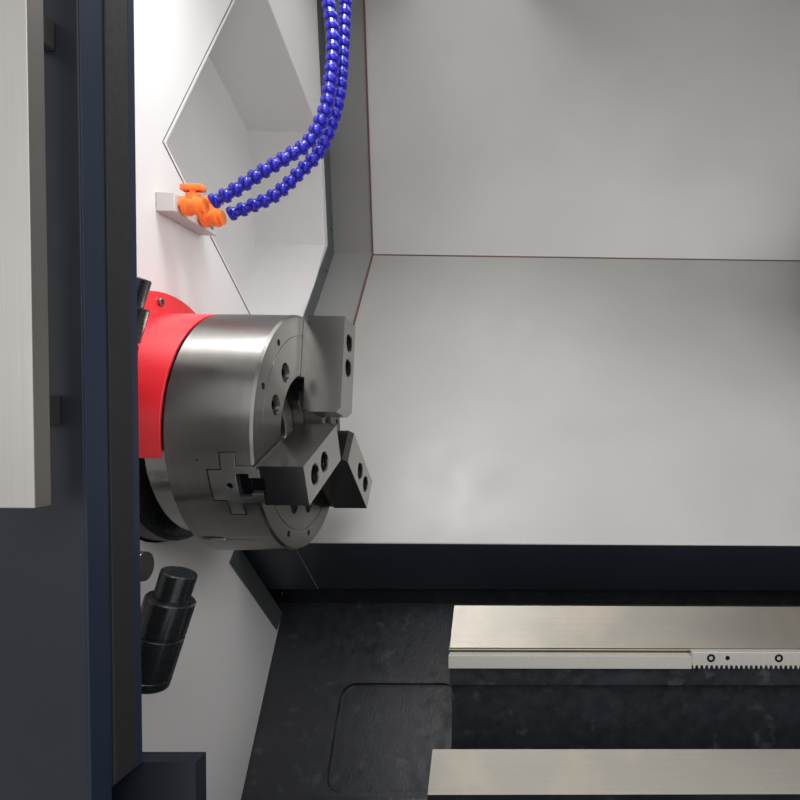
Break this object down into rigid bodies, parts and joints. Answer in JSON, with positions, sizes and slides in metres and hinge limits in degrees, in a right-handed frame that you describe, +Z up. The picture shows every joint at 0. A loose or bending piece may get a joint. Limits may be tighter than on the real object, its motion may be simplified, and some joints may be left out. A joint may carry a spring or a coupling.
{
  "type": "cnc turning lathe",
  "caption": "Slant-bed CNC lathe with a three-jaw chuck, turret carriage, tailstock, sliding front door and posable coolant hoses.",
  "frame": {"origin": "centre of the bottom face of the front middle levelling foot, straight below the spindle axis at the chuck's front face", "axes": "+X along the spindle towards the tailstock, +Y towards the back of the machine, +Z up"},
  "size_m": [2.7723, 1.436, 1.982],
  "materials": {
    "wall_paint": "light grey textured paint",
    "cover_paint": "grey satin paint",
    "dark_paint": "dark grey paint",
    "cast": "painted casting",
    "ground_steel": "ground, lightly oiled",
    "bright_steel": "turned and ground",
    "guard_paint": "red paint",
    "hose": "glossy moulded links",
    "valve": "glossy",
    "black": "black satin",
    "belt": "matte",
    "glass": "clear",
    "stainless": "brushed stainless",
    "stop_red": "satin",
    "start_green": "satin"
  },
  "bodies": {
    "root": {"bed": "cast", "tailstock_rack": "ground_steel", "headstock": "cast", "front_bearing": "bright_steel", "rear_bearing": "bright_steel", "bearing_cap": "black", "chuck_guard": "guard_paint", "coolant_block": "stainless", "coolant_hose_1": "hose", "coolant_hose_2": "hose", "spindle_motor": "cast", "drive_belt": "belt", "headstock_wall": "wall_paint", "front_panel": "dark_paint", "roof": "wall_paint", "rear_cover": "wall_paint", "right_end_cover": "wall_paint", "tail_wall": "wall_paint", "wiper_strip": "cover_paint", "upper_trim": "dark_paint", "lower_trim": "dark_paint", "upper_rail": "ground_steel", "lower_rail": "ground_steel", "lamp_stem": "stainless", "base_pan": "dark_paint", "z_servo": "black"},
    "door": {"door_panel": "dark_paint", "door_window": "glass", "door_handle": "stainless"},
    "spindle": {"spindle": "ground_steel", "chuck_body": "bright_steel", "adapter_plate": "bright_steel"},
    "motor_rotor": {"motor_pulley": "ground_steel"},
    "draw_tube": {"draw_tube": "ground_steel"},
    "jaw_1": {"master_jaw_1": "bright_steel", "top_jaw_1": "bright_steel"},
    "jaw_2": {"master_jaw_2": "bright_steel", "top_jaw_2": "bright_steel"},
    "jaw_3": {"master_jaw_3": "bright_steel", "top_jaw_3": "bright_steel"},
    "carriage": {"saddle": "cast", "left_cover": "cover_paint", "right_cover": "cover_paint"},
    "z_screw": {"z_screw": "ground_steel"},
    "cross_slide": {"cross_slide": "ground_steel", "turret_body": "cast"},
    "turret": {"turret_disc": "bright_steel"},
    "tailstock": {"tailstock_body": "cast"},
    "quill": {"tailstock_quill": "bright_steel"},
    "live_centre": {"live_centre": "bright_steel"},
    "lamp": {"lamp_head": "black"},
    "upper_lamp_head": {"upper_lamp": "black"},
    "valve_1": {"valve_1": "valve"},
    "valve_2": {"valve_2": "valve"},
    "control_panel": {"control_panel": "dark_paint"},
    "e_stop": {"e_stop_button": "stop_red"},
    "start": {"start_button": "start_green"},
    "handwheel": {"handwheel": "black"},
    "cabinet_door": {"cabinet_door": "wall_paint"},
    "chip_drawer": {"chip_drawer": "dark_paint"}
  },
  "joints": [
    {"name": "door_slide", "type": "slide", "parent": "root", "child": "door", "axis": [1, 0, 0], "range_m": [0, 0.94]},
    {"name": "spindle_spin", "type": "hinge", "parent": "root", "child": "spindle", "pos_m": [0, 0, 1.05], "axis": [1, 0, 0], "continuous": true},
    {"name": "motor_spin", "type": "hinge", "parent": "root", "child": "motor_rotor", "pos_m": [-0.76, -0.125, 0.35], "axis": [1, 0, 0], "continuous": true},
    {"name": "draw_slide", "type": "slide", "parent": "spindle", "child": "draw_tube", "axis": [1, 0, 0], "range_m": [-0.0095, 0.0095]},
    {"name": "jaw_1_slide", "type": "slide", "parent": "spindle", "child": "jaw_1", "axis": [0, 0.1426, 0.9898], "range_m": [-0.0022, 0.0022]},
    {"name": "jaw_2_slide", "type": "slide", "parent": "spindle", "child": "jaw_2", "axis": [0, -0.9285, -0.3714], "range_m": [-0.0022, 0.0022]},
    {"name": "jaw_3_slide", "type": "slide", "parent": "spindle", "child": "jaw_3", "axis": [0, 0.7859, -0.6184], "range_m": [-0.0022, 0.0022]},
    {"name": "carriage_slide", "type": "slide", "parent": "root", "child": "carriage", "axis": [1, 0, 0], "range_m": [-0.62, 0]},
    {"name": "z_screw_spin", "type": "hinge", "parent": "root", "child": "z_screw", "pos_m": [0.5, 0.36777, 1.06407], "axis": [1, 0, 0], "range_deg": [-22330, 10]},
    {"name": "cross_travel", "type": "slide", "parent": "carriage", "child": "cross_slide", "axis": [0, 0.7071, 0.7071], "range_m": [-0.19, 0.03]},
    {"name": "turret_spin", "type": "hinge", "parent": "cross_slide", "child": "turret", "pos_m": [0.78, 0.28284, 1.33284], "axis": [1, 0, 0], "continuous": true},
    {"name": "tailstock_slide", "type": "slide", "parent": "root", "child": "tailstock", "axis": [1, 0, 0], "range_m": [-0.25, 0.03]},
    {"name": "quill_slide", "type": "slide", "parent": "tailstock", "child": "quill", "axis": [1, 0, 0], "range_m": [-0.1, 0]},
    {"name": "centre_spin", "type": "hinge", "parent": "quill", "child": "live_centre", "pos_m": [0.72, 0, 1.05], "axis": [1, 0, 0], "continuous": true},
    {"name": "lamp_tilt", "type": "hinge", "parent": "root", "child": "lamp", "pos_m": [-0.06, -0.15, 0.918], "axis": [0, 1, 0], "range_deg": [-20, 12]},
    {"name": "upper_lamp_tilt", "type": "hinge", "parent": "root", "child": "upper_lamp_head", "pos_m": [-0.097, -0.15, 1.172], "axis": [0, 1, 0], "range_deg": [-20, 4]},
    {"name": "valve_1_turn", "type": "hinge", "parent": "root", "child": "valve_1", "pos_m": [-0.1175, -0.002, 1.312], "axis": [0, 0, 1], "range_deg": [0, 90]},
    {"name": "valve_2_turn", "type": "hinge", "parent": "root", "child": "valve_2", "pos_m": [-0.1175, 0.0365, 1.312], "axis": [0, 0, 1], "range_deg": [0, 90]},
    {"name": "panel_swing", "type": "hinge", "parent": "root", "child": "control_panel", "pos_m": [1.475, -0.285, 1.46], "axis": [0, 0, 1], "range_deg": [0, 90]},
    {"name": "e_stop_press", "type": "slide", "parent": "control_panel", "child": "e_stop", "axis": [0, 1, 0], "range_m": [0, 0.004], "stiffness_N_per_m": 800},
    {"name": "start_press", "type": "slide", "parent": "control_panel", "child": "start", "axis": [0, 1, 0], "range_m": [0, 0.003], "stiffness_N_per_m": 500},
    {"name": "handwheel_spin", "type": "hinge", "parent": "control_panel", "child": "handwheel", "pos_m": [1.13, -0.41, 1.27], "axis": [0, 1, 0], "continuous": true},
    {"name": "cabinet_door_swing", "type": "hinge", "parent": "root", "child": "cabinet_door", "pos_m": [-1.0023, 0.996, 1], "axis": [0, 0, -1], "range_deg": [0, 110]},
    {"name": "chip_drawer_slide", "type": "slide", "parent": "root", "child": "chip_drawer", "axis": [1, 0, 0], "range_m": [0, 0.9]}
  ],
  "couplings": [
    {"joint": "motor_spin", "follows": "spindle_spin", "ratio": 1.7273},
    {"joint": "z_screw_spin", "follows": "carriage_slide", "rad_per_m": 628.32},
    {"joint": "jaw_1_slide", "follows": "draw_slide", "ratio": 0.231},
    {"joint": "jaw_2_slide", "follows": "draw_slide", "ratio": 0.231},
    {"joint": "jaw_3_slide", "follows": "draw_slide", "ratio": 0.231}
  ]
}
